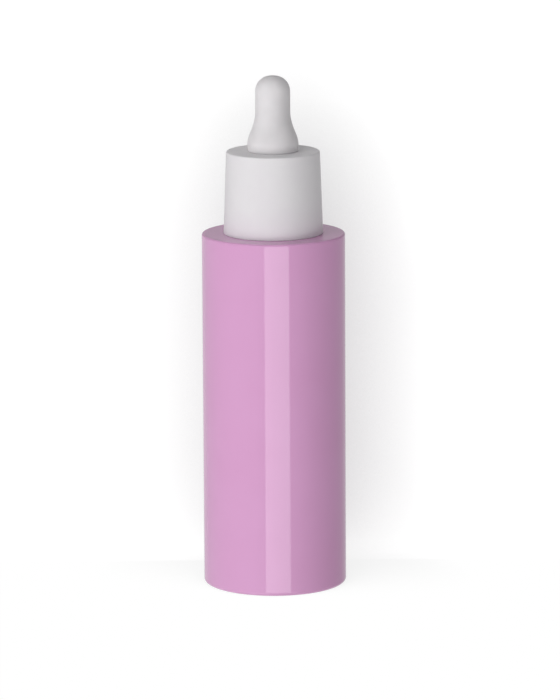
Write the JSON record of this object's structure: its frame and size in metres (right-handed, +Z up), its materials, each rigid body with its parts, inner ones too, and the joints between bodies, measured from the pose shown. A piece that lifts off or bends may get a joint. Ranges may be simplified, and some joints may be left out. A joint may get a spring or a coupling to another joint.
{
  "type": "dropper bottle",
  "caption": "Double-walled cosmetic dropper bottle: pink cylindrical shell, white screw collar, silicone bulb and glass pipette that lifts out.",
  "frame": {"origin": "centre of the round foot, on the surface that the bottle stands on", "axes": "+Z up along the bottle's axis, towards the bulb; the round form has no front"},
  "size_m": [0.038, 0.038, 0.1364],
  "materials": {
    "pink_shell": "polished injection-moulded pink plastic",
    "pink_plug": "satin moulded pink plastic",
    "natural_bottle": "natural milky polypropylene",
    "soft_wiper": "soft milky polyethylene",
    "clear_glass": "clear drawn glass",
    "white_washer": "white polyethylene",
    "silicone_bulb": "matte grey-white silicone",
    "natural_cap": "white moulded polypropylene",
    "white_collar": "satin white moulded plastic"
  },
  "bodies": {
    "bottle": {"outer_shell": "pink_shell", "base_plug": "pink_plug", "inner_bottle": "natural_bottle", "neck_wiper": "soft_wiper"},
    "dropper": {"bulb": "silicone_bulb", "pipette": "clear_glass", "sealing_washer": "white_washer"},
    "cap": {"inner_cap": "natural_cap", "collar_shell": "white_collar"}
  },
  "joints": [
    {"name": "dropper_lift", "type": "slide", "parent": "bottle", "child": "dropper", "axis": [0, 0, 1], "range_m": [0, 0.105]},
    {"name": "cap_turn", "type": "hinge", "parent": "dropper", "child": "cap", "pos_m": [0, 0, 0.1], "axis": [0, 0, 1], "range_deg": [0, 360]}
  ]
}
